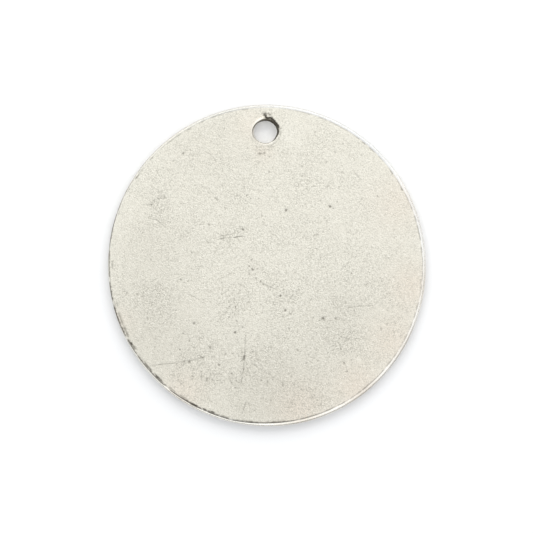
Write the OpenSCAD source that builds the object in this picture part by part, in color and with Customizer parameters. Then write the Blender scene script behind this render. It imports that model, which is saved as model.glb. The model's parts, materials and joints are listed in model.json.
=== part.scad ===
// A flat round metal blank with one punched hole near its rim, to stamp, engrave or hang.
// It lies on its back: the back face is z = 0, the front face looks along +Z, and the hole
// is towards +Y from the disc's centre. All sizes are in millimetres.

/* [Disc] */
// Diameter over the rim
disc_d = 25; // [15:0.5:40]
// Thickness from the back face to the front face
disc_t = 1.0; // [0.8:0.1:2.5]
// Radius of the tumbled round on the rim's front and back corners
rim_r = 0.26; // [0.1:0.02:0.4]

/* [Hole] */
// Diameter of the punched hole
hole_d = 1.8; // [1.2:0.1:3]
// Metal left between the hole and the rim
hole_edge = 1.2; // [0.8:0.05:2.5]
// Radius of the round on the hole's front and back mouths
mouth_r = 0.1; // [0.04:0.02:0.2]

/* [Torn lip] */
// Direction from the hole's centre to the middle of the tear, in degrees from +X
tear_angle = 45; // [0:5:90]
// How far the tear runs round the mouth, in degrees
tear_sweep = 66; // [20:2:120]
// Width of the tear
tear_w = 0.2; // [0.1:0.02:0.3]

/* [Hidden] */
$fn = 96;
disc_r = disc_d / 2;
hole_r = hole_d / 2;
hole_y = disc_r - hole_edge - hole_r;  // from the disc's centre to the hole's
tear_r = hole_r + 1.5 * mouth_r;       // from the hole's centre to the middle of the tear
spare = 0.5;                           // how far a cutter runs past what it cuts

// Half of the section of a round plate with rounded corners, from its axis outwards.
module plate_section(r, t, corner) {
    square([r - corner, t]);
    translate([0, corner]) square([r, t - 2 * corner]);
    for (z = [corner, t - corner])
        translate([r - corner, z]) circle(corner);
}

// Half of the section of a mouth that flares in a quarter round down to a face at z = 0.
module mouth_section(r, flare) {
    difference() {
        translate([0, -spare]) square([r + flare, spare + flare]);
        translate([r + flare, flare]) circle(flare);
    }
}

// The metal that the punch takes out: straight, with a flared mouth at each face.
module punched_hole() {
    rotate_extrude() {
        translate([0, -spare]) square([hole_r, disc_t + 2 * spare]);
        mouth_section(hole_r, mouth_r);
        translate([0, disc_t]) mirror([0, 1]) mouth_section(hole_r, mouth_r);
    }
}

// The furrow that the punch tore in the front face, along the hole's mouth.
module tear() {
    rotate([0, 0, tear_angle - tear_sweep / 2])
        rotate_extrude(angle = tear_sweep)
            translate([tear_r, disc_t]) circle(d = tear_w);
}

module disc() {
    color("gainsboro")
        difference() {
            rotate_extrude() plate_section(disc_r, disc_t, rim_r);
            translate([0, hole_y, 0]) {
                punched_hole();
                tear();
            }
        }
}

disc();
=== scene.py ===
import json
import math
from collections import namedtuple

import bpy
import numpy as np
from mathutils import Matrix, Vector, kdtree
from mathutils.geometry import delaunay_2d_cdt


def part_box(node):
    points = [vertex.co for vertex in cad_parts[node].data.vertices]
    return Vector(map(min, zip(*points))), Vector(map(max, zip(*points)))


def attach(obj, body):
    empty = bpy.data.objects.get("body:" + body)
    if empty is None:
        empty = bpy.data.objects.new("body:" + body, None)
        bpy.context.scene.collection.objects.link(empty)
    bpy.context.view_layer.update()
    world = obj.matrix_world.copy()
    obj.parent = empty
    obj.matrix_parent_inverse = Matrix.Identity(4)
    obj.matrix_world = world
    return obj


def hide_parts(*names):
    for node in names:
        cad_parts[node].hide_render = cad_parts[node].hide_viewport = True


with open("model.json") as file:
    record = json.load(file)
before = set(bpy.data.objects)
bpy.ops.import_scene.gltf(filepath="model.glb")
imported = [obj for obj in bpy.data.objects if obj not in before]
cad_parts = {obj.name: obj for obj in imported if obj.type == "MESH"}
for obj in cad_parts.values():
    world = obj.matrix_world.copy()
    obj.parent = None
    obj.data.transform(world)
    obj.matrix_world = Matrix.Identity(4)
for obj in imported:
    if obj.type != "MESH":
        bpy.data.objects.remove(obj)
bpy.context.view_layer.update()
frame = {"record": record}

# The charm is a blank stamped from brass sheet, silver plated, blackened and then tumbled. The
# tumbling took the black film off again wherever it could reach, so the film is left only in
# what lies low: the pits, the scratches, the punched hole and the crease along the rim. Some
# colour is painted light: shade on the rim's round and on the upper side of the hole's mouth,
# and a highlight on the hole's lip and collar.
# Places and sizes on the metal are in millimetres, in the CAD's frame: +Y points from the
# disc's centre to its hole, and +Z out of the front face. The tables' directions are in
# degrees from +X.

MM = 0.001

# Sizes that the CAD gives
LOW, HIGH = (np.array(corner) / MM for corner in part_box("disc"))
HANG_HOLE = next(m for m in frame["record"]["mounts"] if m["name"] == "hang_hole")
DISC_R = (HIGH[1] - LOW[1]) / 2
THICK = HIGH[2] - LOW[2]
HOLE_X, HOLE_Y = np.array(HANG_HOLE["pos_m"][:2]) / MM
HOLE_R = HANG_HOLE["dims"]["r_mm"]

# The blank's form, as the photo shows it
OVAL = 0.14             # how much nearer the middle the rim is at the left and right
BULGE = 0.07            # how much further out the rim is at the lower right
BULGE_AT = 307          # direction of that bulge
ROUND_W = 0.27          # width of the tumbled round along the rim, at the top and bottom
ROUND_H = 0.24          # height of that round
ROUND_FULL = 3.0        # how full it is: 2 is a quarter of an ellipse, more is flatter on top
RIGHT_WEAR = 0.15       # how much further in the round begins at the right
RIGHT_WEAR_AT = 0.17    # direction where it begins furthest in, in radians
CREASE_DEEP = 0.015     # how deep the crease is where its film is thickest
CREASE_OUTER_W = 0.034  # how far the crease spreads out onto the round
WALL_WAVE = 0.004       # how uneven the sheared side wall is
FACE_DROP = 0.03        # how far the face lies under the lip of the hole, the highest metal
MOUTH_H = 0.12          # height of the round on the hole's mouth
LIP_OUT = 0.12          # how far outside the hole its raised lip is highest
LIP_W = 0.13            # how far the lip spreads over the face
LIP_AT = 130            # direction in which it is highest
LIP_SPREAD = 0.8        # angle to each side of that over which it falls off, in radians

# How finely the skin is divided: points round the rim and the hole, distances of the finer
# rings inside both, and shares of the way over the rim's round and down the two walls
RIM_STEPS = 960
HOLE_STEPS = 240
RIM_INSETS = (0.04, 0.08, 0.12, 0.17, 0.23, 0.31, 0.42, 0.58)
LIP_INSETS = (0.03, 0.06, 0.09, 0.13, 0.17, 0.22, 0.27, 0.33, 0.4, 0.48, 0.58, 0.7)
ROUND_SHARES = (0.13, 0.26, 0.39, 0.51, 0.62, 0.72, 0.81, 0.88, 0.94, 0.98, 1.0)
WALL_SHARES = (0.2, 0.4, 0.6, 0.8)
BORE_SHARES = (0.12, 0.25, 0.4, 0.55, 0.7, 0.85)
FRONT_GAP = 0.17     # distance between the loose points of the front face
BACK_GAP = 0.3       # the same for the back
MARK_GAP = 0.02      # points of marks that lie nearer than this become one
RING_GAP = 0.03      # and those that lie nearer than this to a ring are left out

# The black film along the crease where the flat face meets the tumbled round: how dark it
# is, how far it spreads over the face, and how far out on the round its middle lies.
Crease = namedtuple("Crease", "at dark wide out")
CREASE = [
    Crease(0, 0.50, 0.06, 0.03),
    Crease(15, 0.54, 0.06, 0.04),
    Crease(30, 0.40, 0.06, 0.00),
    Crease(45, 0.36, 0.06, 0.00),
    Crease(60, 0.34, 0.05, -0.02),
    Crease(75, 0.32, 0.05, 0.00),
    Crease(90, 0.38, 0.05, 0.08),
    Crease(105, 0.58, 0.05, 0.07),
    Crease(120, 0.40, 0.06, 0.00),
    Crease(138, 0.46, 0.06, 0.02),
    Crease(152, 0.36, 0.06, 0.11),
    Crease(165, 0.78, 0.06, 0.11),
    Crease(180, 0.84, 0.05, 0.03),
    Crease(195, 1.00, 0.09, 0.08),
    Crease(212, 0.92, 0.08, 0.04),
    Crease(228, 0.86, 0.09, 0.05),
    Crease(240, 1.00, 0.11, 0.04),
    Crease(248, 1.00, 0.11, 0.06),
    Crease(257, 1.00, 0.08, 0.095),
    Crease(270, 1.00, 0.09, 0.03),
    Crease(280, 0.84, 0.07, 0.02),
    Crease(290, 0.60, 0.05, 0.01),
    Crease(300, 0.58, 0.05, 0.00),
    Crease(320, 0.46, 0.06, 0.00),
    Crease(342, 0.42, 0.06, 0.03),
]

# Dashes of thicker film in the crease, each with its direction, length, width, how far
# inside the face's edge it lies, and how dark it is. A wide dash is a sheaf of thin streaks.
Dash = namedtuple("Dash", "at long wide inset dark")
DASHES = [
    Dash(9, 0.26, 0.08, 0.03, 0.22),
    Dash(23, 0.26, 0.08, 0.12, 0.26),
    Dash(29, 0.45, 0.10, 0.06, 0.45),
    Dash(36, 0.39, 0.10, 0.04, 0.45),
    Dash(48, 0.26, 0.08, 0.04, 0.34),
    Dash(51, 0.39, 0.10, 0.05, 0.49),
    Dash(60, 0.26, 0.08, 0.03, 0.30),
    Dash(63, 0.26, 0.08, 0.05, 0.30),
    Dash(69, 0.26, 0.08, 0.02, 0.26),
    Dash(74, 0.26, 0.08, 0.05, 0.26),
    Dash(97.4, 0.60, 0.08, -0.01, 0.50),
    Dash(107, 0.59, 0.08, 0.00, 0.30),
    Dash(120, 0.26, 0.08, 0.08, 0.30),
    Dash(128, 0.59, 0.08, 0.02, 0.34),
    Dash(142, 0.33, 0.08, 0.04, 0.30),
    Dash(145, 0.59, 0.10, 0.02, 0.56),
    Dash(151, 0.39, 0.08, 0.00, 0.34),
    Dash(160, 0.52, 0.08, 0.02, 0.34),
    Dash(179, 0.80, 0.12, 0.22, 0.22),
    Dash(194, 0.70, 0.12, 0.20, 0.22),
    Dash(199.5, 1.35, 0.12, 0.13, 0.30),
    Dash(204.5, 1.20, 0.12, 0.14, 0.32),
    Dash(209.4, 0.27, 0.15, 0.06, 0.95),
    Dash(211.2, 0.70, 0.14, 0.12, 0.45),
    Dash(219.8, 1.35, 0.17, 0.05, 0.48),
    Dash(225.2, 1.25, 0.19, 0.03, 0.52),
    Dash(229, 0.26, 0.12, 0.03, 0.60),
    Dash(232, 0.75, 0.08, 0.09, 0.44),
    Dash(237, 0.90, 0.12, 0.07, 0.24),
    Dash(242, 0.95, 0.12, -0.02, 0.75),
    Dash(246, 0.45, 0.13, 0.00, 0.75),
    Dash(249, 0.50, 0.13, 0.04, 0.60),
    Dash(253, 1.00, 0.09, -0.03, 0.60),
    Dash(260, 0.80, 0.09, -0.02, 0.50),
    Dash(269, 1.20, 0.09, -0.01, 0.60),
    Dash(307, 0.91, 0.10, 0.00, 0.56),
    Dash(353, 0.65, 0.08, 0.10, 0.26),
]
DASH_DEEP = 0.01  # how deep a dash is cut
STREAK_W = 0.075  # width of a thin streak

# The round on the hole's mouth by direction from the hole's centre: how dark the film on it
# is, darker on the upper side, which is partly painted shade; how wide it is; and how bright
# the collar round it is, rubbed and partly a painted highlight. The punch dragged it in at the
# upper right; below it stayed crisp.
Mouth = namedtuple("Mouth", "at dark wide bright")
MOUTH = [
    Mouth(0, 0.92, 0.165, 0.0),
    Mouth(18, 0.95, 0.130, 0.1),
    Mouth(45, 0.95, 0.085, 0.4),
    Mouth(90, 0.92, 0.115, 0.3),
    Mouth(104, 0.85, 0.110, 0.9),
    Mouth(125, 0.74, 0.080, 1.0),
    Mouth(150, 0.80, 0.075, 0.9),
    Mouth(168, 0.62, 0.070, 0.8),
    Mouth(182, 0.26, 0.060, 0.6),
    Mouth(200, 0.20, 0.050, 0.5),
    Mouth(230, 0.32, 0.045, 0.5),
    Mouth(270, 0.26, 0.040, 0.8),
    Mouth(300, 0.20, 0.040, 0.8),
    Mouth(315, 0.70, 0.065, 0.6),
    Mouth(330, 0.95, 0.072, 0.3),
]

# The rim's round by direction: how dark its outermost part is, partly film and partly painted
# shade for the shadowed floor that it mirrors; how much the rest of the round is greyed, painted
# shade over the key light's reflection, strongest at the top; how bright the round was rubbed,
# less at the top, which is painted shade too; and how far that laid bare the silver, which is
# whiter than the satin skin
Rim = namedtuple("Rim", "at dark grey bright bare")
RIM = [
    Rim(0, 0.42, 0.12, 0.90, 0.4),
    Rim(15, 0.06, 0.12, 0.90, 0.6),
    Rim(30, 0.00, 0.08, 0.95, 0.7),
    Rim(45, 0.00, 0.31, 0.85, 0.9),
    Rim(60, 0.00, 0.29, 0.75, 0.9),
    Rim(90, 0.00, 0.26, 0.66, 0.6),
    Rim(110, 0.00, 0.26, 0.58, 0.4),
    Rim(125, 0.20, 0.22, 0.65, 0.1),
    Rim(150, 0.25, 0.18, 0.70, 0.0),
    Rim(175, 0.22, 0.06, 0.80, 0.0),
    Rim(195, 0.22, 0.00, 0.95, 0.0),
    Rim(210, 0.50, 0.00, 1.00, 0.0),
    Rim(225, 0.33, 0.00, 1.00, 0.0),
    Rim(240, 0.12, 0.00, 1.00, 0.0),
    Rim(255, 0.14, 0.00, 1.00, 0.0),
    Rim(270, 0.26, 0.00, 1.00, 0.0),
    Rim(285, 0.08, 0.04, 1.00, 0.0),
    Rim(300, 0.08, 0.04, 1.00, 0.1),
    Rim(315, 0.26, 0.06, 1.00, 0.3),
    Rim(335, 0.26, 0.08, 1.00, 0.4),
]

# Pits that can be told one by one in the photo: place, width and how dark the film in it is
Pit = namedtuple("Pit", "x y wide dark")
PITS = [
    Pit(-6.40, 8.76, 0.15, 0.57),
    Pit(-4.48, 3.20, 0.14, 0.57),
    Pit(-4.12, 1.78, 0.12, 0.30),
    Pit(-3.21, 4.47, 0.17, 0.26),
    Pit(-2.04, 2.84, 0.11, 0.40),
    Pit(-1.83, 2.80, 0.17, 0.74),
    Pit(1.54, 4.26, 0.17, 0.74),
    Pit(4.96, 4.51, 0.17, 0.74),
    Pit(5.19, 4.38, 0.11, 0.40),
    Pit(4.85, 4.63, 0.09, 0.28),
    Pit(2.80, 7.66, 0.14, 0.40),
    Pit(-8.93, 4.80, 0.13, 0.40),
    Pit(-8.07, 4.70, 0.12, 0.30),
    Pit(-6.70, -1.04, 0.14, 0.57),
    Pit(-5.71, -4.44, 0.17, 0.63),
    Pit(-5.39, -4.45, 0.10, 0.34),
    Pit(-2.53, -5.19, 0.17, 0.70),
    Pit(-1.94, -4.78, 0.12, 0.47),
    Pit(-2.97, -3.99, 0.13, 0.43),
    Pit(-2.39, -4.31, 0.13, 0.43),
    Pit(-1.39, -0.05, 0.11, 0.40),
    Pit(-0.86, -0.99, 0.12, 0.47),
    Pit(-0.50, -1.24, 0.11, 0.40),
    Pit(-0.30, -1.50, 0.12, 0.34),
    Pit(1.03, -2.38, 0.14, 0.78),
    Pit(1.39, -3.52, 0.16, 0.67),
    Pit(4.03, -4.34, 0.11, 0.40),
    Pit(5.27, -4.18, 0.13, 0.40),
    Pit(1.68, -4.93, 0.12, 0.40),
    Pit(2.30, -5.21, 0.13, 0.40),
    Pit(5.25, -1.26, 0.11, 0.34),
    Pit(6.54, -0.66, 0.11, 0.37),
    Pit(5.91, -7.64, 0.15, 0.57),
    Pit(6.16, -8.32, 0.12, 0.43),
    Pit(-2.01, -6.76, 0.12, 0.47),
    Pit(-2.75, -6.83, 0.11, 0.40),
    Pit(-6.08, -5.80, 0.13, 0.43),
    Pit(-6.83, -6.48, 0.16, 0.47),
    Pit(-3.78, -7.70, 0.15, 0.43),
    Pit(-6.50, -7.42, 0.17, 0.57),
    Pit(-6.11, -7.39, 0.15, 0.47),
    Pit(-10.91, -2.02, 0.13, 0.40),
    Pit(1.13, -9.35, 0.15, 0.43),
    Pit(-0.44, 8.63, 0.18, 0.34),
    Pit(-0.10, 8.72, 0.13, 0.30),
    Pit(-0.22, 11.82, 0.13, 0.35),
    Pit(0.22, 11.80, 0.13, 0.46),
    Pit(0.36, 11.70, 0.14, 0.46),
]

# Scratches and long pits in the photo: where each runs, its width, depth and darkness
Scratch = namedtuple("Scratch", "path wide deep dark")
SCRATCHES = [
    Scratch([(-3.86, 2.06), (-3.30, 2.14), (-2.64, 2.20)], 0.075, 0.007, 0.40),
    Scratch([(-3.78, 2.28), (-3.21, 2.37), (-2.66, 2.42)], 0.07, 0.006, 0.27),
    Scratch([(-2.60, 2.15), (-2.25, 2.24), (-1.86, 2.27)], 0.08, 0.008, 0.50),
    Scratch([(-9.27, -7.74), (-8.06, -7.59), (-6.89, -7.51)], 0.08, 0.007, 0.31),
    Scratch([(-6.22, -7.38), (-5.61, -7.22), (-4.96, -7.11)], 0.09, 0.005, 0.20),
    Scratch([(-5.16, -7.19), (-4.86, -7.03)], 0.13, 0.008, 0.28),
    Scratch([(-1.71, -5.02), (-1.79, -6.54), (-1.88, -7.94), (-2.18, -9.54)], 0.08, 0.006, 0.36),
    Scratch([(-1.81, -6.94), (-1.92, -7.36)], 0.19, 0.014, 0.44),
    Scratch([(-1.73, -10.54), (-2.08, -11.64)], 0.08, 0.006, 0.34),
    Scratch([(-1.60, -7.40), (-0.20, -8.30), (1.85, -9.70)], 0.07, 0.005, 0.16),
    Scratch([(-8.60, 5.28), (-7.67, 5.30)], 0.09, 0.007, 0.31),
    Scratch([(-9.34, 4.78), (-8.89, 4.81), (-8.69, 5.01), (-8.64, 5.41)], 0.08, 0.006, 0.30),
    Scratch([(6.03, -3.38), (7.13, -3.26), (8.36, -3.22)], 0.08, 0.006, 0.27),
    Scratch([(-6.56, -1.97), (-5.66, -2.40), (-4.71, -3.02)], 0.08, 0.005, 0.22),
    Scratch([(-5.18, 1.78), (-4.65, 1.80), (-4.10, 1.85)], 0.07, 0.005, 0.22),
    Scratch([(-4.35, 5.85), (-4.05, 5.50)], 0.10, 0.006, 0.18),
    Scratch([(-3.97, 5.35), (-3.72, 5.02)], 0.12, 0.008, 0.32),
    Scratch([(-9.33, 3.84), (-8.50, 3.58), (-7.76, 2.97)], 0.09, 0.006, 0.26),
    Scratch([(-4.73, 8.89), (-4.25, 8.63), (-3.88, 8.18)], 0.08, 0.006, 0.22),
    Scratch([(6.84, 7.20), (7.37, 6.56)], 0.08, 0.006, 0.22),
    Scratch([(-3.51, -1.17), (-3.50, -2.03)], 0.08, 0.005, 0.21),
    Scratch([(-5.18, -8.07), (-5.13, -9.24)], 0.07, 0.004, 0.19),
    Scratch([(-3.02, -8.73), (-2.76, -9.33)], 0.10, 0.007, 0.28),
    Scratch([(-2.34, -1.35), (-1.73, -1.67)], 0.10, 0.006, 0.28),
    Scratch([(-4.84, -8.63), (-4.70, -8.93)], 0.20, 0.019, 0.62),
    Scratch([(4.17, -4.28), (4.42, -4.12)], 0.18, 0.017, 0.62),
    Scratch([(-1.22, -0.14), (-1.03, -0.46)], 0.13, 0.014, 0.62),
    Scratch([(-4.52, -6.11), (-4.41, -6.54)], 0.15, 0.010, 0.40),
    Scratch([(-0.62, -1.18), (-0.25, -1.46), (0.66, -1.88)], 0.12, 0.006, 0.26),
    Scratch([(1.99, -2.23), (1.73, -2.73)], 0.13, 0.007, 0.31),
    Scratch([(0.14, 11.80), (0.36, 11.72), (0.54, 11.60)], 0.12, 0.005, 0.26),
    Scratch([(-0.10, 9.24), (0.41, 9.30), (0.85, 9.58), (1.14, 10.02), (1.21, 10.53)],
            0.13, 0.004, 0.16),
    Scratch([(1.05, 10.58), (1.27, 10.63)], 0.13, 0.003, 0.40),
    Scratch([(1.14, 10.52), (1.16, 10.30), (1.12, 10.08)], 0.20, 0.002, 0.18),
    Scratch([(-0.78, 9.20), (-0.25, 9.18)], 0.12, 0.003, 0.20),
    Scratch([(0.15, 9.17), (0.80, 9.21)], 0.12, 0.003, 0.18),
    Scratch([(-0.92, 8.96), (-0.20, 8.98), (0.40, 8.95)], 0.12, 0.003, 0.16),
    Scratch([(-0.70, 8.72), (-0.35, 8.66), (0.00, 8.70)], 0.14, 0.004, 0.30),
]

# Patches where the tumbling bit deeper and more of the film stayed: place, reach and amount
Patch = namedtuple("Patch", "x y reach amount")
PITTED = [
    Patch(-8.5, 4.3, 1.1, 0.5),
    Patch(-2.8, 2.3, 1.1, 0.7),
    Patch(3.0, 2.3, 1.0, 0.6),
    Patch(-1.2, -0.4, 1.1, 0.7),
    Patch(8.2, -1.2, 1.4, 0.5),
    Patch(1.1, -2.8, 1.3, 0.7),
    Patch(-2.4, -3.1, 1.5, 0.9),
    Patch(-8.5, -2.9, 1.4, 0.7),
    Patch(5.7, -5.9, 1.8, 0.7),
    Patch(-5.9, -7.3, 1.6, 0.6),
    Patch(-1.7, -7.8, 1.5, 0.8),
    Patch(-4.8, -9.0, 1.8, 0.6),
    Patch(2.6, -10.3, 1.8, 0.6),
]

# Patches where the film is thin enough to look brownish, and patches that make the face
# greyer, the largest on its lower half, so that the face is darker towards the bottom
BROWNED = [
    Patch(11.3, -1.8, 1.9, 0.7),
    Patch(9.8, -6.0, 1.9, 0.7),
    Patch(7.0, -9.6, 1.9, 0.8),
    Patch(2.5, -11.3, 2.0, 0.7),
    Patch(10.4, 4.8, 2.2, 0.5),
    Patch(-6.5, -9.8, 1.6, 0.6),
    Patch(-11.6, -4.3, 1.0, 0.5),
    Patch(-1.1, 11.0, 1.2, 0.4),
    Patch(-0.2, 8.9, 0.8, 0.4),
]
GREYED = [
    Patch(-9.5, -6.0, 5.0, 0.6),
    Patch(0.5, -10.5, 4.5, 0.8),
    Patch(-8.8, 1.5, 2.6, 0.4),
    Patch(5.8, -4.5, 3.0, 0.4),
    Patch(-4.0, 10.5, 4.0, 0.25),
]

# Patches that were rubbed smoother and paler than the rest
RUBBED = [
    Patch(1.7, 10.3, 1.0, 0.40),
    Patch(-1.2, 11.2, 0.6, 0.3),
    Patch(8.6, 7.4, 2.6, 0.12),
]

# The tear that the punch left in the lip, from its tail above the hole down to its right,
# measured from the hole's centre
TEAR = [(-0.03, 1.30), (0.01, 1.22), (0.02, 1.15), (0.06, 1.09), (0.14, 1.06), (0.24, 1.07),
        (0.45, 1.05), (0.60, 0.93), (0.76, 0.72), (0.89, 0.54), (0.97, 0.40), (0.99, 0.34)]
TEAR_W = 0.14     # about how wide it is, and it is widest at its tail
TEAR_DEEP = 0.1   # how deep it is
TEAR_AT = 47      # direction of its middle
TEAR_SPREAD = 42  # angle to each side of that over which film fills the lip beside it

# Where the hole's front edge was pushed inwards, or outwards when below 0: direction, how
# far, and over what angle
Push = namedtuple("Push", "at inwards spread")
PUSHES = [
    Push(48, 0.065, 24),
    Push(98, 0.105, 34),
    Push(332, 0.03, 14),
    Push(190, -0.16, 34),
]

# The tumbling's small marks that are too many to place one by one: how many are on each
# face, and how wide a band round the hole is free of them
FRONT_PITS, FRONT_SCRATCHES = 900, 70
BACK_PITS, BACK_SCRATCHES = 320, 45
BARE_BAND = 0.8


def ripple(x, y, wave, seed, waves=28):
    """Smooth random waves with a spread of 1, whose crests are about wave apart."""
    rng = np.random.default_rng(seed)
    total = np.zeros(np.shape(x))
    for _ in range(waves):
        turn, phase = rng.uniform(0, 2 * np.pi, 2)
        pitch = 2 * np.pi / (wave * rng.uniform(0.75, 1.35))
        total += np.sin(pitch * (x * np.cos(turn) + y * np.sin(turn)) + phase)
    return total / math.sqrt(waves / 2)


def swell(x, y, patches):
    """How much of a set of soft round patches lies over each point, at most 1."""
    left = np.ones(np.shape(x))
    for p in patches:
        left *= 1 - p.amount * np.exp(-((x - p.x) ** 2 + (y - p.y) ** 2) / p.reach**2)
    return 1 - left


def by_turn(table, name, turn):
    """A column of a table that goes by direction, read off between its rows."""
    values = [getattr(row, name) for row in table]
    return np.interp(np.degrees(turn) % 360, [row.at for row in table], values, period=360)


def off_by(turn, degrees):
    """The angle from a direction in degrees to each turn in radians, from -180 to 180."""
    return (np.degrees(turn) - degrees + 180) % 360 - 180


def rim_bulge(turn):
    """How much further out the rim is in a direction, in radians, than on a true circle."""
    return BULGE * np.maximum(0, np.cos(turn - math.radians(BULGE_AT))) ** 4


def rim_radius(turn):
    """Distance from the disc's centre to the outermost metal in a direction."""
    return DISC_R + rim_bulge(turn) - OVAL * (1 + np.cos(2 * turn)) / 2


def land_radius(turn):
    """Distance from the disc's centre to the edge of the flat face in a direction."""
    worn = ROUND_W + RIGHT_WEAR * np.maximum(0, np.cos(turn - RIGHT_WEAR_AT)) ** 3
    return DISC_R - worn


def mouth_width(turn):
    """Width of the round on the hole's mouth in a direction from the hole's centre."""
    return by_turn(MOUTH, "wide", turn)


def lip_height(turn):
    """How high the hole's lip stands, as a share of its highest, at the upper left."""
    return 0.25 + 0.75 * np.exp(-((np.radians(off_by(turn, LIP_AT)) / LIP_SPREAD) ** 2))


def circle(steps):
    """Directions all the way round, in radians."""
    return np.arange(steps) * 2 * np.pi / steps


def along(path, x, y):
    """Distance from each point to a path, and the share of the path that lies before the
    place on it that is nearest."""
    ends = np.array(path, float)
    if len(ends) == 1:
        return np.hypot(x - ends[0, 0], y - ends[0, 1]), np.full(np.shape(x), 0.5)
    lengths = np.hypot(*(ends[1:] - ends[:-1]).T)
    before = np.concatenate([[0], np.cumsum(lengths)])
    best = np.full(np.shape(x), np.inf)
    share = np.zeros(np.shape(x))
    for k, (a, b) in enumerate(zip(ends[:-1], ends[1:])):
        step = (b - a) / lengths[k]
        reach = np.clip((x - a[0]) * step[0] + (y - a[1]) * step[1], 0, lengths[k])
        gap = np.hypot(x - a[0] - reach * step[0], y - a[1] - reach * step[1])
        nearer = gap < best
        best[nearer] = gap[nearer]
        share[nearer] = ((before[k] + reach) / before[-1])[nearer]
    return best, share


def dent(mark, x, y):
    """How much of a mark's full depth lies under each point, from 1 in its middle to 0."""
    gap, share = along(mark.path, x, y)
    whole = np.exp(-((2 * gap / mark.wide) ** 2))
    if len(mark.path) == 1:
        return whole
    broken = np.clip(0.95 + 0.22 * ripple(x, y, 0.5, 30), 0.4, 1.2)
    return broken * (1 - np.abs(2 * share - 1) ** 6) * whole


def pit_marks(pits):
    """Pits as marks: the wider and darker, the deeper."""
    return [Scratch([(p.x, p.y)], p.wide, 0.13 * p.wide * (0.4 + p.dark), p.dark) for p in pits]


def dash_marks(dashes):
    """The dashes of film along the crease as marks."""
    rng = np.random.default_rng(13)
    marks = []
    for d in dashes:
        streaks = 1 if d.wide < 0.11 or d.long < 0.3 else 3 if d.wide < 0.17 else 4
        for k in range(streaks):
            length, across, wide, dark = d.long, 0.0, d.wide, d.dark
            if streaks > 1:
                length *= rng.uniform(0.6, 0.95)
                across = 0.45 * (2 * k / (streaks - 1) - 1) * d.wide
                wide = STREAK_W
            slip = rng.uniform(-0.5, 0.5) * (d.long - length)
            if streaks > 1:
                dark *= rng.uniform(0.9, 1.5)
            turn = math.radians(d.at) + (slip + np.array([-0.5, 0, 0.5]) * length) / DISC_R
            path = ring(turn, land_radius(turn) - d.inset - across)
            marks.append(Scratch(path, wide, DASH_DEEP, dark))
    return marks


def off_the_edges(x, y, from_rim):
    """Whether a place is at least from_rim inside the rim, and outside the band at the hole."""
    clear = math.hypot(x - HOLE_X, y - HOLE_Y) > HOLE_R + BARE_BAND
    return clear and math.hypot(x, y) < DISC_R - from_rim


def chance_marks(seed, pits, scratches, patches):
    """Small pits and faint scratches that the tumbling left all over a face."""
    rng = np.random.default_rng(seed)
    marks = []
    while len(marks) < pits:
        x, y = rng.uniform(-DISC_R, DISC_R, 2)
        wide, dark, luck = rng.uniform(0.07, 0.14), rng.uniform(0.06, 0.34), rng.uniform()
        if off_the_edges(x, y, 1.0) and luck < 0.12 + 0.88 * float(swell(x, y, patches)):
            marks.append(Scratch([(x, y)], wide, 0.08 * wide, dark))
    while len(marks) < pits + scratches:
        x, y = rng.uniform(-DISC_R, DISC_R, 2)
        turn, length = rng.uniform(0, np.pi), rng.uniform(0.5, 2.4)
        bend = rng.uniform(-0.12, 0.12)
        dx, dy = length * math.cos(turn), length * math.sin(turn)
        path = [(x, y), (x + dx / 2 - bend * dy, y + dy / 2 + bend * dx), (x + dx, y + dy)]
        dark = rng.uniform(0.05, 0.16)
        if all(off_the_edges(*p, 0.9) for p in path):
            marks.append(Scratch(path, 0.06, 0.003, dark))
    return marks


def mark_points(mark):
    """Points that give a mark its form: rings round a pit, rows along a scratch."""
    if len(mark.path) == 1:
        (x, y), = mark.path
        points = [(x, y)]
        for steps, reach in ((6, 0.4), (8, 0.85)):
            turn = circle(steps) + 0.4
            points += ring(turn, reach * mark.wide, (x, y))
        return points
    points = []
    for a, b in zip(mark.path[:-1], mark.path[1:]):
        a, b = np.array(a), np.array(b)
        length = math.hypot(*(b - a))
        across = np.array([a[1] - b[1], b[0] - a[0]]) / length
        steps = max(1, round(length / (1.1 * mark.wide)))
        for k in range(steps + 1):
            middle = a + (b - a) * k / steps
            points += [tuple(middle + across * mark.wide * reach)
                       for reach in (-0.85, -0.4, 0, 0.4, 0.85)]
    return points


def lattice(gap):
    """Evenly spread points over the whole disc, in rows of triangles."""
    rows = np.arange(-DISC_R, DISC_R, gap * math.sqrt(3) / 2)
    columns = np.arange(-DISC_R, DISC_R, gap)
    return [(x + gap / 2 * (k % 2), y) for k, y in enumerate(rows) for x in columns]


def clear_of(points, others, gap):
    """The points that lie at least gap from all the others."""
    tree = kdtree.KDTree(len(others))
    for k, (x, y) in enumerate(others):
        tree.insert((x, y, 0), k)
    tree.balance()
    return [p for p in points if tree.find((p[0], p[1], 0))[2] >= gap]


def thinned(points, gap):
    """The points, one to each square of a fine grid, so that marks that cross stay tidy."""
    cells = {}
    for p in points:
        cells.setdefault((round(p[0] / gap), round(p[1] / gap)), p)
    return list(cells.values())


def ring(turn, radius, centre=(0, 0)):
    """Points round a centre."""
    return list(zip(centre[0] + radius * np.cos(turn), centre[1] + radius * np.sin(turn)))


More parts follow.
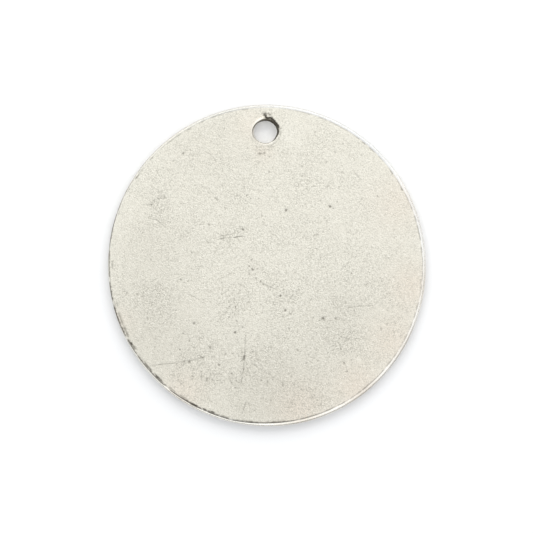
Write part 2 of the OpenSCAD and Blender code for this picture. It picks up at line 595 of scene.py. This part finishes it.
class Skin:
    """The charm's surface as it is put together: points in millimetres, and faces."""

    def __init__(self):
        self.points, self.part, self.faces = [], [], []

    def add(self, xy, z, part):
        """Adds points at one height, on the stretch that part names, and returns their numbers."""
        first = len(self.points)
        heights = np.broadcast_to(z, len(xy))
        self.points += [(x, y, h) for (x, y), h in zip(xy, heights)]
        self.part += [part] * len(xy)
        return np.arange(first, len(self.points))

    def join(self, upper, lower):
        """Joins two rings of as many points with four-sided faces that look outwards."""
        after = np.roll(np.arange(len(upper)), -1)
        self.faces += zip(upper, lower, lower[after], upper[after])

    def sheet(self, edge, mouth, inner, z, part, looks_up):
        """Fills the space between two rings through loose points, and returns the numbers of
        both rings' points."""
        points = edge + mouth + inner
        edges = [(k, (k + 1) % len(edge)) for k in range(len(edge))]
        edges += [(len(edge) + k, len(edge) + (k + 1) % len(mouth)) for k in range(len(mouth))]
        inside_only, merge_gap = 1, 1e-7
        flat = delaunay_2d_cdt([Vector(p) for p in points], edges, [range(len(edge))],
                               inside_only, merge_gap, True)
        numbers = self.add([tuple(p) for p in flat[0]], z, part)
        source = [min(s) for s in flat[3]]
        made = {s: numbers[k] for k, s in enumerate(source)}
        in_mouth = {k for k, s in enumerate(source) if len(edge) <= s < len(edge) + len(mouth)}
        for face in flat[2]:
            if not in_mouth.issuperset(face):
                corners = [numbers[k] for k in face]
                self.faces.append(tuple(corners if looks_up else corners[::-1]))
        return (np.array([made[k] for k in range(len(edge))]),
                np.array([made[len(edge) + k] for k in range(len(mouth))]))


def face_points(gap, insets, lip_insets, marks):
    """The loose points of a flat face: finer along the rim, round the hole and in the marks."""
    rim_turn, hole_turn = circle(RIM_STEPS), circle(HOLE_STEPS)
    fixed = []
    for k, inset in enumerate(insets):
        turn = rim_turn + (k + 1) % 2 * np.pi / RIM_STEPS
        fixed += ring(turn, land_radius(turn) - inset)
    for k, inset in enumerate(lip_insets):
        turn = hole_turn + (k + 1) % 2 * np.pi / HOLE_STEPS
        fixed += ring(turn, HOLE_R + mouth_width(turn) + inset, (HOLE_X, HOLE_Y))
    mouth = ring(hole_turn, HOLE_R + mouth_width(hole_turn), (HOLE_X, HOLE_Y))
    borders = ring(rim_turn, land_radius(rim_turn)) + mouth
    own = thinned([p for mark in marks for p in mark_points(mark)], MARK_GAP)
    own = [p for p in own if on_face(p, insets[-1], lip_insets[-1])]
    own = clear_of(own, borders + fixed, RING_GAP)
    spread = [p for p in lattice(gap) if on_face(p, insets[-1], lip_insets[-1])]
    spread = clear_of(spread, borders + fixed + own, 0.5 * gap)
    return fixed + own + spread


def on_face(point, inset, lip_inset):
    """Whether a point is on the flat face, inside the finer rings of its rim and its hole."""
    x, y = point
    from_rim = land_radius(math.atan2(y, x)) - math.hypot(x, y)
    from_hole = math.hypot(x - HOLE_X, y - HOLE_Y) - HOLE_R
    lip = lip_inset + mouth_width(math.atan2(y - HOLE_Y, x - HOLE_X))
    return from_rim > inset and from_hole > lip


def rim_rows(skin, land, rim, top, bottom):
    """Rings down the rim: the tumbled round of the front, the side wall and the back's round."""
    turn = circle(RIM_STEPS)
    rows = []
    for share in ROUND_SHARES:
        drop = ROUND_H * (1 - (1 - share**ROUND_FULL) ** (1 / ROUND_FULL))
        rows.append(skin.add(ring(turn, land + (rim - land) * share), top - drop, "front_round"))
    for share in WALL_SHARES:
        height = top - ROUND_H - share * (top - bottom - 2 * ROUND_H)
        rows.append(skin.add(ring(turn, rim), height, "wall"))
    for lean in np.radians((90, 72, 54, 36, 18)):
        out = land + (rim - land) * np.sin(lean)
        height = bottom + ROUND_H * (1 - np.cos(lean))
        rows.append(skin.add(ring(turn, out), height, "back_round"))
    return rows


def hole_rows(skin, flare, hole, top, bottom):
    """Rings down the hole: the round on its mouth, its wall and the round at the back."""
    turn = circle(HOLE_STEPS)
    rows = []
    for lean in np.radians((18, 36, 54, 72, 90)):
        radius = HOLE_R + flare * (1 - np.sin(lean))
        height = top - MOUTH_H * (1 - np.cos(lean))
        rows.append(skin.add(ring(turn, radius, hole), height, "mouth"))
    for share in BORE_SHARES:
        height = top - MOUTH_H - share * (top - bottom - 2 * MOUTH_H)
        rows.append(skin.add(ring(turn, HOLE_R, hole), height, "bore"))
    for lean in np.radians((90, 60, 30)):
        radius = HOLE_R + flare * (1 - np.sin(lean))
        height = bottom + MOUTH_H * (1 - np.cos(lean))
        rows.append(skin.add(ring(turn, radius, hole), height, "bore"))
    return rows


def blank_skin(front_marks, back_marks):
    """The stamped blank before its wear: two flat faces, the rim and the hole."""
    skin = Skin()
    top, bottom = THICK - FACE_DROP, 0.0
    rim_turn, hole_turn = circle(RIM_STEPS), circle(HOLE_STEPS)
    land, rim = land_radius(rim_turn), rim_radius(rim_turn)
    hole, flare = (HOLE_X, HOLE_Y), mouth_width(hole_turn)
    edge, mouth = ring(rim_turn, land), ring(hole_turn, HOLE_R + flare, hole)
    front = face_points(FRONT_GAP, RIM_INSETS, LIP_INSETS, front_marks)
    back = face_points(BACK_GAP, RIM_INSETS[1::2], LIP_INSETS[1::3], back_marks)
    front_edge, front_mouth = skin.sheet(edge, mouth, front, top, "front", True)
    back_edge, back_mouth = skin.sheet(edge, mouth, back, bottom, "back", False)
    down_rim = [front_edge] + rim_rows(skin, land, rim, top, bottom) + [back_edge]
    for upper, lower in zip(down_rim[:-1], down_rim[1:]):
        skin.join(upper, lower)
    down_hole = [front_mouth] + hole_rows(skin, flare, hole, top, bottom) + [back_mouth]
    for upper, lower in zip(down_hole[:-1], down_hole[1:]):
        skin.join(lower, upper)
    return skin


class Places:
    """Where the skin's points lie. Directions and distances from the rim and the hole stay
    those of the new blank when the wear moves the points."""

    def __init__(self, skin):
        self.x, self.y, self.z = np.array(skin.points).T
        self.part = np.array(skin.part)
        self.turn = np.arctan2(self.y, self.x)
        self.from_land = np.hypot(self.x, self.y) - land_radius(self.turn)
        self.in_x, self.in_y = self.x - HOLE_X, self.y - HOLE_Y
        self.hole_turn = np.arctan2(self.in_y, self.in_x)
        self.from_hole = np.hypot(self.in_x, self.in_y) - HOLE_R
        self.front = self.on("front", "front_round", "mouth")
        self.back = self.on("back", "back_round")
        self.rounds = self.on("front_round", "back_round")
        # How far down the hole a point is: 1 half way through and lower.
        self.depth = np.clip((THICK - self.z) / (0.5 * THICK), 0, 1)

    def on(self, *parts):
        """Which points are on any of these stretches."""
        return np.isin(self.part, parts)

    def move_in(self, distance, turn):
        """Moves the points against a direction."""
        self.x = self.x - distance * np.cos(turn)
        self.y = self.y - distance * np.sin(turn)


def rolled_dip(at):
    """How far the sheet lies under its highest place, since rolled sheet is never quite flat."""
    long_waves = 0.004 * (1 + np.tanh(ripple(at.x, at.y, 8, 21)))
    return long_waves + 0.0018 * (1 + np.tanh(ripple(at.x, at.y, 1.3, 22)))


def cut_marks(at, side, marks, sink, oxide_and_shade):
    """Cuts marks into one side and leaves film in them."""
    for mark in marks:
        near = np.flatnonzero(side & near_mark(mark, at.x, at.y))
        amount = dent(mark, at.x[near], at.y[near])
        sink[near] += mark.deep * amount
        oxide_and_shade[near] = 1 - (1 - oxide_and_shade[near]) * (1 - mark.dark * np.minimum(1, 1.25 * amount))


def crease_wear(at):
    """How deep the crease along the rim is, and the film in it with its ragged edge."""
    dark, wide, out = (by_turn(CREASE, name, at.turn) for name in ("dark", "wide", "out"))
    ragged = 1 + 0.3 * ripple(at.x, at.y, 1.3, 23) + 0.2 * ripple(at.x, at.y, 0.3, 24)
    inner_w = wide * np.maximum(0.45, ragged)
    side_w = np.where(at.from_land < out, inner_w, CREASE_OUTER_W)
    crease = np.exp(-(((at.from_land - out) / side_w) ** 2)) * (at.front | at.back)
    gaps = 0.2 + 0.8 / (1 + np.exp(-4 * (ripple(at.x, at.y, 0.9, 25) + 2.2 * dark - 0.6)))
    return CREASE_DEEP * dark * crease, dark * gaps * crease


def raised_lip(at):
    """How fully the lip stands up round the hole's mouth."""
    return lip_height(at.hole_turn) * np.exp(-(((at.from_hole - LIP_OUT) / LIP_W) ** 2))


def tear_wear(at):
    """How fully the lip is torn, and the film packed into the tear, thinner at its tail."""
    gap, share = along(TEAR, at.in_x, at.in_y)
    narrowed = 0.45 * np.sin(np.pi * np.sqrt(share)) ** 2
    width = TEAR_W * (1.15 - narrowed + 0.4 * np.exp(-share / 0.1))
    width = width * (1 + 0.22 * ripple(at.x, at.y, 0.16, 26))
    torn = np.where(at.front, np.exp(-((2 * gap / width) ** 2)), 0)
    return torn, np.minimum(0.72 + 0.23 * np.clip(share / 0.2, 0, 1), 1.4 * torn)


def packed_film(at):
    """The film between the tear and the hole's mouth, where the tumbling couldn't reach."""
    beside = np.exp(-((off_by(at.hole_turn, TEAR_AT) / TEAR_SPREAD) ** 4))
    beside = beside * (at.from_hole < 0.25) * at.front
    fade = np.clip(1.8 - 6 * np.maximum(0, at.from_hole), 0, 1)
    return (0.98 + 0.10 * ripple(at.x, at.y, 0.12, 31)) * beside * fade


def pushed_edge(at):
    """How far the hole's front edge was pushed inwards."""
    inwards = np.zeros(len(at.x))
    for push in PUSHES:
        inwards += push.inwards * np.exp(-((off_by(at.hole_turn, push.at) / push.spread) ** 2))
    fade = np.exp(-np.maximum(0, at.from_hole) / 0.12) * (at.from_hole < 0.6)
    return inwards * (1 - at.depth) * fade * ~at.back


def hole_film_and_shade(at, oxide_and_shade):
    """Adds the hole's film to the rest: thick on its mouth, and worn off lower down. On the
    mouth's upper side and the top of the bore it is partly painted shade.
    """
    in_mouth = by_turn(MOUTH, "dark", at.hole_turn)
    brink = at.on("front") & (at.from_hole < mouth_width(at.hole_turn) + 0.005)
    oxide_and_shade = np.where(at.on("mouth") | brink, np.maximum(oxide_and_shade, in_mouth), oxide_and_shade)
    # film at the top of the bore follows the mouth's: partly painted shade on the far wall
    in_bore = 0.7 * in_mouth * np.clip(1 - 5 * at.depth, 0, 1)
    in_bore += 0.02 * (1 + ripple(at.x, at.y, 0.4, 27))
    return np.where(at.on("bore"), in_bore, oxide_and_shade)


def rim_film_and_shade(at, oxide_and_shade):
    """Adds the darkening of the rim's rounds to the rest: most of it lies on their steep part,
    where it is partly film and partly painted shade; the grey over the rest, strongest at the
    top, is painted shade.
    """
    round_w = rim_radius(at.turn) - land_radius(at.turn)
    steep = np.clip((at.from_land / round_w - 0.8) / 0.2, 0, 1)
    # grey over the round, strongest at the top: painted shade where the key light is mirrored
    greyed = by_turn(RIM, "grey", at.turn) * (1 - steep)
    rim_darkening = np.maximum(by_turn(RIM, "dark", at.turn) * steep, greyed)
    return np.where(at.rounds, np.maximum(oxide_and_shade, rim_darkening), oxide_and_shade)


def wall_film(at, oxide_and_shade):
    """Adds the side wall's film to the rest. The punch drew the wall smooth at its top and
    tore it lower down, where more film stayed."""
    broken_off = 1 / (1 + np.exp((at.z - 0.45 * THICK) / 0.06))
    streaks = ripple(at.x + 0.1 * at.z, at.y + 0.1 * at.z, 0.8, 28)
    on_wall = 0.10 + 0.05 * streaks + (0.14 + 0.06 * streaks) * broken_off
    return np.where(at.on("wall"), on_wall, oxide_and_shade)


def wall_shear(at):
    """How far the side wall lies inside its outermost place."""
    return WALL_WAVE * (1 + np.tanh(ripple(at.x + 0.2 * at.z, at.y, 1.6, 29))) * at.on("wall")


def rubbing_and_highlight(at, lip, torn):
    """How smooth and bright each place was rubbed, with a painted highlight on the hole's lip
    and collar.
    """
    near_edge = 0.25 * np.exp(np.minimum(0, at.from_land) / 0.5)
    rubbed_and_highlight = np.maximum(swell(at.x, at.y, RUBBED), near_edge)
    rubbed_and_highlight = np.where(at.rounds, by_turn(RIM, "bright", at.turn), rubbed_and_highlight)
    rubbed_and_highlight = np.where(at.on("wall"), 0.6, rubbed_and_highlight)
    rubbed_and_highlight = np.where(at.on("bore"), 1.0, rubbed_and_highlight)
    # the lip's upper-left slope faces the key light: painted highlight
    rubbed_and_highlight = np.maximum(rubbed_and_highlight, 0.85 * lip**1.5)
    # the collar round the mouth: rubbed, and partly a painted highlight
    collar = np.exp(-(((at.from_hole - mouth_width(at.hole_turn) - 0.06) / 0.07) ** 2))
    collar = collar * (1 - torn) * by_turn(MOUTH, "bright", at.hole_turn)
    return np.where(at.on("front"), np.maximum(rubbed_and_highlight, collar), rubbed_and_highlight)


def worn_blank():
    """The blank with its wear: faces, points, and what the wear did at each point, with the
    painted shade and highlights among it.
    """
    front_marks = pit_marks(PITS) + SCRATCHES + dash_marks(DASHES)
    front_marks += chance_marks(11, FRONT_PITS, FRONT_SCRATCHES, PITTED)
    back_marks = chance_marks(12, BACK_PITS, BACK_SCRATCHES, PITTED)
    skin = blank_skin(front_marks, back_marks)
    at = Places(skin)

    sink, oxide_and_shade = rolled_dip(at), np.zeros(len(at.x))
    cut_marks(at, at.front, front_marks, sink, oxide_and_shade)
    cut_marks(at, at.back, back_marks, sink, oxide_and_shade)
    crease_dip, crease_film = crease_wear(at)
    torn, tear_film = tear_wear(at)
    lip = raised_lip(at)
    sink += crease_dip + TEAR_DEEP * torn - FACE_DROP * lip * (1 - torn) * at.front
    oxide_and_shade = np.maximum.reduce([oxide_and_shade, crease_film, packed_film(at), tear_film])

    at.move_in(pushed_edge(at), at.hole_turn)
    oxide_and_shade = wall_film(at, rim_film_and_shade(at, hole_film_and_shade(at, oxide_and_shade)))
    at.move_in(wall_shear(at), at.turn)
    upright = np.where(at.back, -1.0, 1.0) * (at.front | at.back)
    z = at.z - np.maximum(sink, -FACE_DROP) * upright
    wear = {
        "oxide_and_shade": np.clip(oxide_and_shade, 0, 1),
        "rubbed_and_highlight": np.clip(rubbing_and_highlight(at, lip, torn), 0, 1),
        "pitted": swell(at.x, at.y, PITTED),
        "browned": swell(at.x, at.y, BROWNED),
        "greyed": swell(at.x, at.y, GREYED),
        "bare": by_turn(RIM, "bare", at.turn) * at.rounds,
    }
    return skin.faces, np.column_stack([at.x, at.y, z]), wear


def near_mark(mark, x, y):
    """Which points lie in the box round a mark."""
    ends = np.array(mark.path)
    low, high = ends.min(0) - 1.6 * mark.wide, ends.max(0) + 1.6 * mark.wide
    return (x > low[0]) & (x < high[0]) & (y > low[1]) & (y < high[1])


def make_charm():
    """The whole charm as one mesh, with its wear and its painted shade and highlights written
    on its points for the material.
    """
    faces, points, wear = worn_blank()
    mesh = bpy.data.meshes.new("charm")
    mesh.from_pydata((points * MM).tolist(), [], [tuple(int(k) for k in f) for f in faces])
    for name, values in wear.items():
        layer = mesh.attributes.new(name, "FLOAT", "POINT")
        layer.data.foreach_set("value", values.astype(np.float32))
    mesh.polygons.foreach_set("use_smooth", [True] * len(mesh.polygons))
    mesh.update()
    charm = bpy.data.objects.new("charm", mesh)
    bpy.context.scene.collection.objects.link(charm)
    mesh.materials.append(antique_silver())
    return charm


def linear(hex_colour):
    """An sRGB hex colour as the linear red, green, blue and alpha that the shaders take."""
    parts = [int(hex_colour[k:k + 2], 16) / 255 for k in (0, 2, 4)]
    return [c / 12.92 if c <= 0.04045 else ((c + 0.055) / 1.055) ** 2.4 for c in parts] + [1.0]


def node(tree, kind, settings=None, sockets=None):
    """Adds a node, with its settings, its sockets' values and the links into it."""
    made = tree.nodes.new(kind)
    for name, value in (settings or {}).items():
        setattr(made, name, value)
    for name, value in (sockets or {}).items():
        if isinstance(value, bpy.types.NodeSocket):
            tree.links.new(value, made.inputs[name])
        else:
            made.inputs[name].default_value = value
    return made


def satin_patterns(tree):
    """The patterns in the satin skin: its grain, soft clouds, and the crackle and its ridges.

    The tumbling's dents run from a tenth of a millimetre down to a hundredth. Less than about
    0.06 mm doesn't show in the render, so the finest are drawn that coarse.
    """
    grain_mm, fine_mm, crackle_mm, cloud_mm = 0.11, 0.065, 0.19, 2.0
    place = node(tree, "ShaderNodeTexCoord").outputs["Object"]
    grain = node(tree, "ShaderNodeTexNoise", {}, {
        "Vector": place, "Scale": 1 / (grain_mm * MM), "Detail": 1.0, "Roughness": 0.5})
    fine = node(tree, "ShaderNodeTexNoise", {}, {
        "Vector": place, "Scale": 1 / (fine_mm * MM), "Detail": 1.0, "Roughness": 0.5})
    cloud = node(tree, "ShaderNodeTexNoise", {}, {
        "Vector": place, "Scale": 1 / (cloud_mm * MM), "Detail": 3.0, "Roughness": 0.6})

    # Crackle: thin crooked lines where a soft noise passes its middle value. Beside each line
    # the tumbling left a thin ridge, which it then rubbed paler.
    swirl = node(tree, "ShaderNodeTexNoise", {}, {
        "Vector": place, "Scale": 1 / (crackle_mm * MM), "Detail": 1.5, "Roughness": 0.6,
        "Distortion": 0.6})
    lines = []
    for middle, width, strength in ((0.5, 0.038, 1.0), (0.585, 0.034, 0.45)):
        off_middle = node(tree, "ShaderNodeMath", {"operation": "SUBTRACT"}, {
            0: swirl.outputs["Fac"], 1: middle})
        off = node(tree, "ShaderNodeMath", {"operation": "ABSOLUTE"}, {0: off_middle.outputs[0]})
        lines.append(node(tree, "ShaderNodeMapRange", {"interpolation_type": "SMOOTHSTEP"}, {
            "Value": off.outputs[0], "From Min": width, "From Max": 0.0, "To Max": strength}))
    crackle, ridge = lines
    return {
        "grain": grain.outputs["Fac"],
        "fine": fine.outputs["Fac"],
        "cloud": cloud.outputs["Fac"],
        "crackle": crackle.outputs["Result"],
        "ridge": ridge.outputs["Result"],
    }


def grey_film(tree, pattern, wear):
    """The grey film: in the dents and the crackle, thicker where the face is pitted and
    thinner where the metal was rubbed."""
    low = node(tree, "ShaderNodeMapRange", {"interpolation_type": "SMOOTHSTEP"}, {
        "Value": pattern["grain"], "From Min": 0.56, "From Max": 0.3, "To Max": 0.67})
    film = node(tree, "ShaderNodeMath", {"operation": "MULTIPLY_ADD", "use_clamp": True}, {
        0: pattern["crackle"], 1: 0.91, 2: low.outputs["Result"]})
    clung = node(tree, "ShaderNodeMapRange", {}, {
        "Value": wear["pitted"], "To Min": 0.5, "To Max": 0.8})
    clouded = node(tree, "ShaderNodeMapRange", {}, {
        "Value": pattern["cloud"], "From Min": 0.3, "From Max": 0.7,
        "To Min": 0.55, "To Max": 1.45})
    kept = node(tree, "ShaderNodeMapRange", {}, {
        "Value": wear["rubbed_and_highlight"], "To Min": 1.0, "To Max": 0.3})
    for share in (clung, clouded, kept):
        film = node(tree, "ShaderNodeMath", {"operation": "MULTIPLY"}, {
            0: film.outputs[0], 1: share.outputs["Result"]})
    return film.outputs[0]


def silver_colour(tree, pattern, wear):
    """The silver's colour under the black film: each tone lies over the ones before it."""
    brightened = node(tree, "ShaderNodeMapRange", {}, {"Value": wear["rubbed_and_highlight"], "From Min": 0.5})
    colour = node(tree, "ShaderNodeMixRGB", {}, {
        "Fac": pattern["cloud"], "Color1": linear("D3CFC3"), "Color2": linear("D7D4C8")})
    for amount, tone in (
            (wear["greyed"], "C5C1B5"),              # a greyer tone, heaviest on the lower half of the face
            (brightened.outputs["Result"], "F8F5EC"),     # metal rubbed bright, and painted highlight on the lip and collar
            (wear["bare"], "E8E9E9"),                # whiter silver laid bare on the rim
            (wear["browned"], "D4CABC"),             # film so thin that it looks brownish
            (pattern["ridge"], "E8E5DC"),            # the paler ridges beside the crackle
            (grey_film(tree, pattern, wear), "9C988D")):
        colour = node(tree, "ShaderNodeMixRGB", {}, {
            "Fac": amount, "Color1": colour.outputs[0], "Color2": linear(tone)})
    return colour.outputs[0]


def antique_silver():
    """Silver plate over stamped brass, blackened with sulphur and tumbled bright again.

    The tumbling leaves a satin skin of fine dents, about a tenth of a millimetre across, that
    scatters light softly. A grey film stays in the low spots and reads as crackled grain, and a
    darker one stays in the pits. The rim and the hole's lip are rubbed smooth and bright. Some
    colour is painted light: a highlight on the lip, and shade on the rim's round and on the
    upper side of the hole's mouth.
    """
    material = bpy.data.materials.new("antique_silver")
    material.use_nodes = True
    tree = material.node_tree
    tree.nodes.clear()
    wear = {name: node(tree, "ShaderNodeAttribute", {"attribute_name": name}).outputs["Fac"]
            for name in ("oxide_and_shade", "rubbed_and_highlight", "pitted", "browned", "greyed", "bare")}
    pattern = satin_patterns(tree)

    # The black film, and the painted shade on the rim's round and the hole's mouth: where the
    #     mesh says it lies, with a frayed edge from the fine grain.
    frayed = node(tree, "ShaderNodeMath", {"operation": "MULTIPLY_ADD"}, {
        0: pattern["fine"], 1: 0.3, 2: wear["oxide_and_shade"]})
    black = node(tree, "ShaderNodeMapRange", {}, {
        "Value": frayed.outputs[0], "From Min": 0.16, "From Max": 1.16}).outputs["Result"]
    colour = node(tree, "ShaderNodeMixRGB", {}, {
        "Fac": black, "Color1": silver_colour(tree, pattern, wear), "Color2": linear("48443B")})

    # Rubbed metal is glossier, and the black film is duller.
    satin = node(tree, "ShaderNodeMapRange", {}, {
        "Value": wear["rubbed_and_highlight"], "To Min": 0.47, "To Max": 0.22})
    dull = node(tree, "ShaderNodeMath", {"operation": "MULTIPLY_ADD"}, {
        0: black, 1: 0.25, 2: satin.outputs["Result"]})

    # Relief too fine for the mesh: the grain's dents, and the crackle cut into them.
    dented = node(tree, "ShaderNodeMath", {"operation": "ADD"}, {
        0: pattern["fine"], 1: pattern["grain"]})
    cut = node(tree, "ShaderNodeMath", {"operation": "MULTIPLY_ADD"}, {
        0: pattern["crackle"], 1: -0.2, 2: dented.outputs[0]})
    strength = node(tree, "ShaderNodeMapRange", {}, {
        "Value": wear["rubbed_and_highlight"], "To Min": 1.0, "To Max": 0.3})
    bump = node(tree, "ShaderNodeBump", {}, {
        "Height": cut.outputs[0], "Strength": strength.outputs["Result"],
        "Distance": 0.0165 * MM})
    shader = node(tree, "ShaderNodeBsdfPrincipled", {}, {
        "Base Color": colour.outputs[0], "Metallic": 1.0, "Roughness": dull.outputs[0],
        "Normal": bump.outputs["Normal"]})
    node(tree, "ShaderNodeOutputMaterial", {}, {"Surface": shader.outputs["BSDF"]})
    return material


def white_board():
    """The matt white board that the charm lies on."""
    material = bpy.data.materials.new("white_board")
    material.use_nodes = True
    shader = material.node_tree.nodes["Principled BSDF"]
    shader.inputs["Base Color"].default_value = linear("EEEEEE")
    shader.inputs["Roughness"].default_value = 0.9
    return material


def make_floor():
    """A plain pale floor under the charm."""
    half = 1.0  # half its width, in metres
    mesh = bpy.data.meshes.new("floor")
    corners = [(-half, -half, 0), (half, -half, 0), (half, half, 0), (-half, half, 0)]
    mesh.from_pydata(corners, [], [(0, 1, 2, 3)])
    mesh.materials.append(white_board())
    floor = bpy.data.objects.new("floor", mesh)
    bpy.context.scene.collection.objects.link(floor)


def make_softbox(name, towards, away_mm, across_mm, watts, colour):
    """A soft panel light that shines on the charm from a direction."""
    light = bpy.data.lights.new(name, "AREA")
    light.shape = "RECTANGLE"
    light.size, light.size_y = across_mm[0] * MM, across_mm[1] * MM
    light.energy = watts
    light.color = linear(colour)[:3]
    lamp = bpy.data.objects.new(name, light)
    lamp.location = Vector(towards).normalized() * away_mm * MM
    lamp.rotation_euler = Vector(towards).to_track_quat("Z", "Y").to_euler()
    lamp.visible_camera = False
    bpy.context.scene.collection.objects.link(lamp)


def make_surroundings():
    """A white tent round the table, bright overhead and dim low down."""
    brightness = 1.436
    world = bpy.data.worlds.new("tent")
    bpy.context.scene.world = world
    world.use_nodes = True
    tree = world.node_tree
    tree.nodes.clear()
    sight = node(tree, "ShaderNodeTexCoord").outputs["Generated"]
    height = node(tree, "ShaderNodeSeparateXYZ", {}, {"Vector": sight}).outputs["Z"]
    overhead = node(tree, "ShaderNodeMapRange", {"interpolation_type": "SMOOTHSTEP"}, {
        "Value": height, "From Min": 0.3, "From Max": 1.0}).outputs["Result"]
    colour = node(tree, "ShaderNodeMixRGB", {}, {
        "Fac": overhead, "Color1": linear("8C8C8C"), "Color2": linear("FAFCFF")}).outputs[0]
    light = node(tree, "ShaderNodeBackground", {}, {"Color": colour, "Strength": brightness})
    node(tree, "ShaderNodeOutputWorld", {}, {"Surface": light.outputs[0]})


def make_camera():
    """The photo's camera: straight above the charm and turned a little, as the hole shows."""
    view_across, above_face = 41.41, 180.0  # width that it sees at the face, from how high
    centre_x, centre_y = -0.031, -0.090     # the spot on the face that it looks at
    roll = -0.6
    data = bpy.data.cameras.new("camera")
    data.sensor_width = 36.0
    data.lens = data.sensor_width * above_face / view_across
    data.clip_start = 0.01
    camera = bpy.data.objects.new("camera", data)
    camera.location = Vector((centre_x, centre_y, THICK + above_face)) * MM
    camera.rotation_euler = (0, 0, math.radians(roll))
    bpy.context.scene.collection.objects.link(camera)
    bpy.context.scene.camera = camera


make_camera()
charm = make_charm()
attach(charm, "root")
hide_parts("disc")
make_floor()
make_surroundings()
make_softbox("key", towards=(0.0, 0.87, 0.5), away_mm=600, across_mm=(1200, 850), watts=4.1,
             colour="FFFEFB")
make_softbox("card", towards=(0.9, 0.25, 0.2), away_mm=600, across_mm=(900, 250), watts=0.85,
             colour="FFFFFF")
bpy.context.scene.view_settings.view_transform = "Standard"
